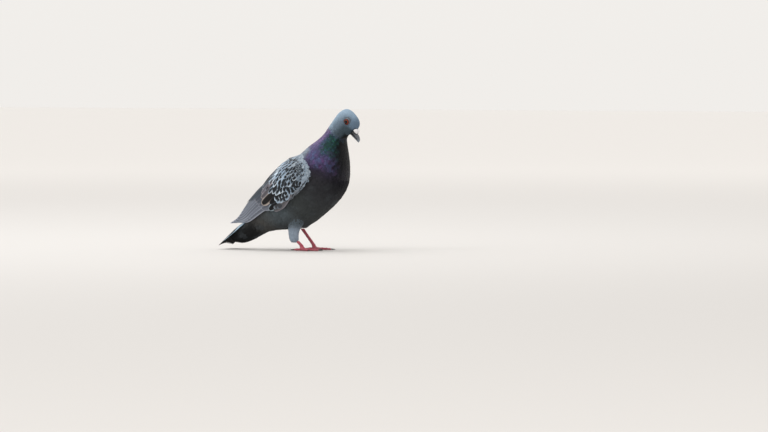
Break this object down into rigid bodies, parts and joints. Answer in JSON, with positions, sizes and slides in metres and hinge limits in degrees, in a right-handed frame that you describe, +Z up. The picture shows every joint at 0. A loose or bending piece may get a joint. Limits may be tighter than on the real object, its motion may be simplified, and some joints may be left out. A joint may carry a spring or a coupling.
{
  "type": "standing pigeon",
  "caption": "Life-size still model of a feral rock pigeon standing alert on level ground, wings folded, head turned and bill lowered.",
  "frame": {"origin": "on the ground under the middle of the bird's bounding box", "axes": "+X the way the bird faces, along its length; +Y to the bird's left; +Z up from the ground it stands on"},
  "size_m": [0.2266, 0.096, 0.2079],
  "materials": {
    "head_feathers": "short slate-grey plumage, matt",
    "neck_feathers": "green and purple gloss over dark grey",
    "breast_feathers": "plum-grey plumage, soft sheen",
    "belly_feathers": "dark grey loose plumage, matt",
    "wing_feathers": "slate and pale grey chequers, matt",
    "flight_feathers": "brownish grey vanes, slight gloss",
    "tail_feathers": "blackish vanes, slight gloss",
    "bill_horn": "dark horn, smooth",
    "cere_skin": "powdery white skin",
    "leg_skin": "pink-red scaly skin",
    "eye_surface": "wet, glossy",
    "claw_horn": "dark horn, smooth"
  },
  "bodies": {
    "root": {"head": "head_feathers", "neck": "neck_feathers", "breast": "breast_feathers", "belly": "belly_feathers", "rump": "belly_feathers", "tail": "tail_feathers", "bill_upper": "bill_horn", "bill_lower": "bill_horn", "cere": "cere_skin", "eye_right": "eye_surface", "eye_left": "eye_surface", "wing_right_coverts": "wing_feathers", "wing_left_coverts": "wing_feathers", "wing_right_secondaries": "wing_feathers", "wing_left_secondaries": "wing_feathers", "wing_right_primaries": "flight_feathers", "wing_left_primaries": "flight_feathers", "thigh_right": "belly_feathers", "thigh_left": "belly_feathers", "shank_right": "leg_skin", "shank_left": "leg_skin", "foot_right": "leg_skin", "foot_left": "leg_skin", "claw_right_inner": "claw_horn", "claw_right_middle": "claw_horn", "claw_right_outer": "claw_horn", "claw_right_hind": "claw_horn", "claw_left_inner": "claw_horn", "claw_left_middle": "claw_horn", "claw_left_outer": "claw_horn", "claw_left_hind": "claw_horn"}
  },
  "joints": []
}
